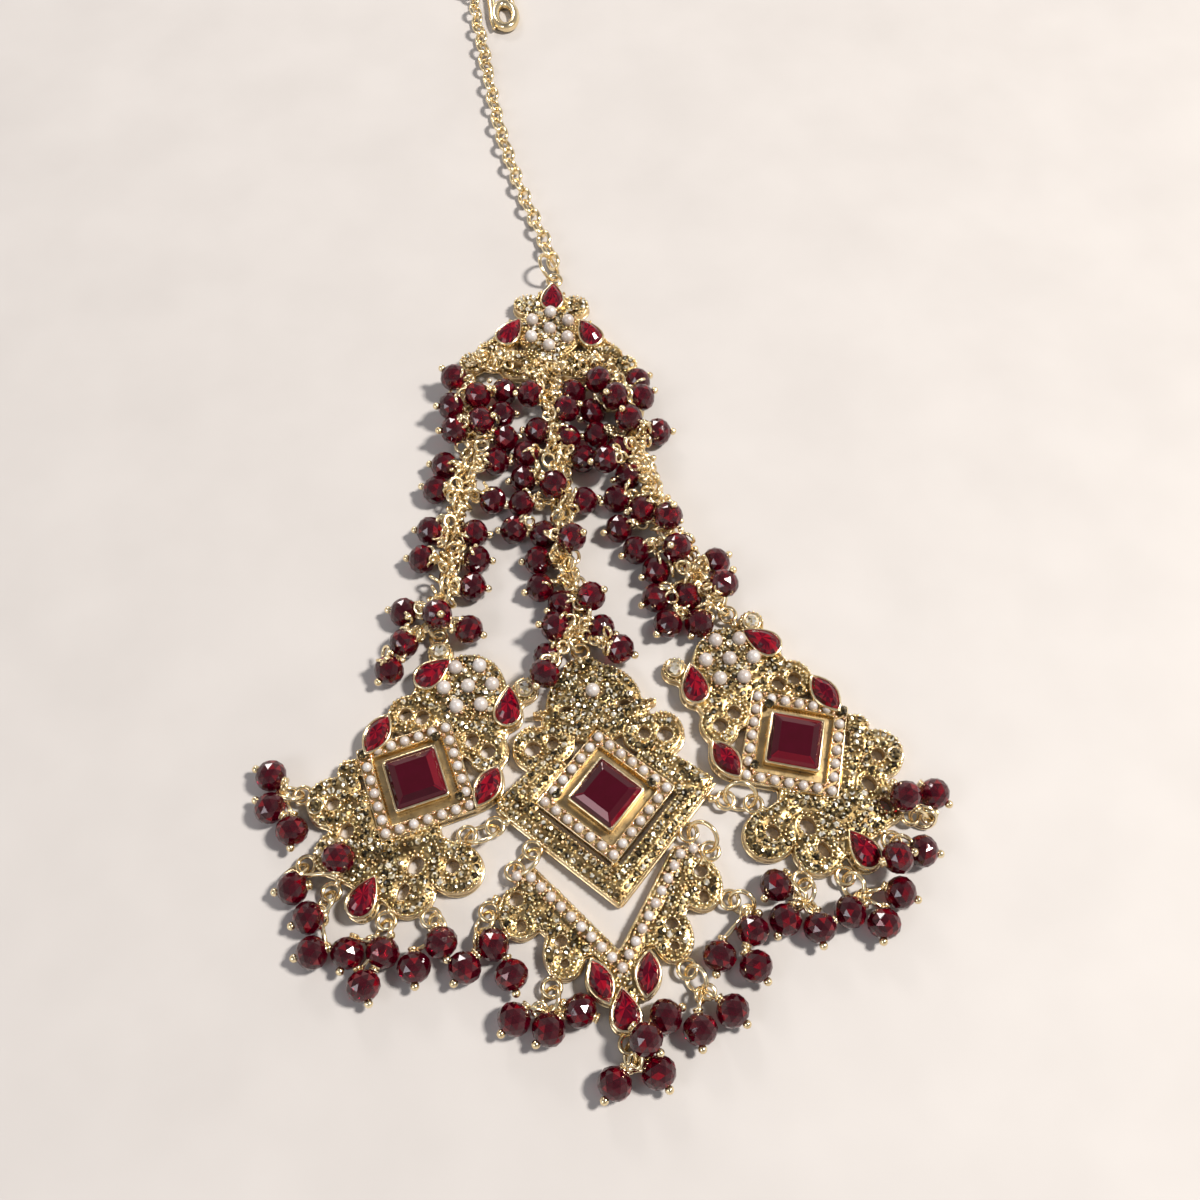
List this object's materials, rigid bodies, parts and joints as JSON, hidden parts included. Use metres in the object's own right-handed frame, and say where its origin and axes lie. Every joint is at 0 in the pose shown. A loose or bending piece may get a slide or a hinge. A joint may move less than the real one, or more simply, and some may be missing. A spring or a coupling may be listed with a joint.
{
  "type": "jhoomar",
  "caption": "Side hair ornament lying flat: paved plates set with red stones and pearls, beaded strands and bead drops, on a fine chain that ends in a hair hook.",
  "frame": {"origin": "the middle of the centre plate's flat back, under its square stone", "axes": "+Z out of the ornament's face, away from the surface that it lies on; +Y from the chevron and drops towards the chain and hook; +X to the right seen from the face"},
  "size_m": [0.0882, 0.1989, 0.0065],
  "materials": {
    "gold": "pale antique gold plating, polished, slightly uneven",
    "paved_gold": "gold-plated cast metal paved with champagne crystal chips, plain polished rims",
    "ruby": "deep red foiled glass stones with a flat table and bevelled edges",
    "garnet": "dark wine-red faceted glass beads on gold head pins and linked gold rings",
    "pearl": "small cream imitation pearls with a soft sheen",
    "crystal": "champagne crystal chips, bright and sparkling"
  },
  "bodies": {
    "root": {"centre_plate": "paved_gold", "left_plate": "paved_gold", "right_plate": "paved_gold", "chevron_plate": "paved_gold", "top_plate": "paved_gold", "centre_stone": "ruby", "left_stone": "ruby", "left_pear_inner": "ruby", "left_marquise_inner": "ruby", "left_pear_outer": "ruby", "left_marquise_outer": "ruby", "left_pear_foot": "ruby", "right_stone": "ruby", "right_pear_inner": "ruby", "right_marquise_inner": "ruby", "right_pear_outer": "ruby", "right_marquise_outer": "ruby", "right_pear_foot": "ruby", "chevron_pear": "ruby", "chevron_marquise_right": "ruby", "chevron_marquise_left": "ruby", "top_pear_top": "ruby", "top_pear_right": "ruby", "top_pear_left": "ruby", "link_left_ring": "gold", "link_right_ring": "gold", "chevron_left_ring": "gold", "chevron_right_ring": "gold", "strand_left": "garnet", "strand_middle": "garnet", "strand_right": "garnet", "drops_left_1": "garnet", "drops_left_2": "garnet", "drops_left_3": "garnet", "drops_left_4": "garnet", "drops_left_5": "garnet", "drops_right_1": "garnet", "drops_right_2": "garnet", "drops_right_3": "garnet", "drops_right_4": "garnet", "drops_chevron_1": "garnet", "drops_chevron_2": "garnet", "drops_chevron_3": "garnet", "drops_chevron_4": "garnet", "drops_chevron_5": "garnet", "top_ring": "gold", "head_chain": "gold", "hook_ring": "gold", "hook": "gold"}
  },
  "joints": []
}
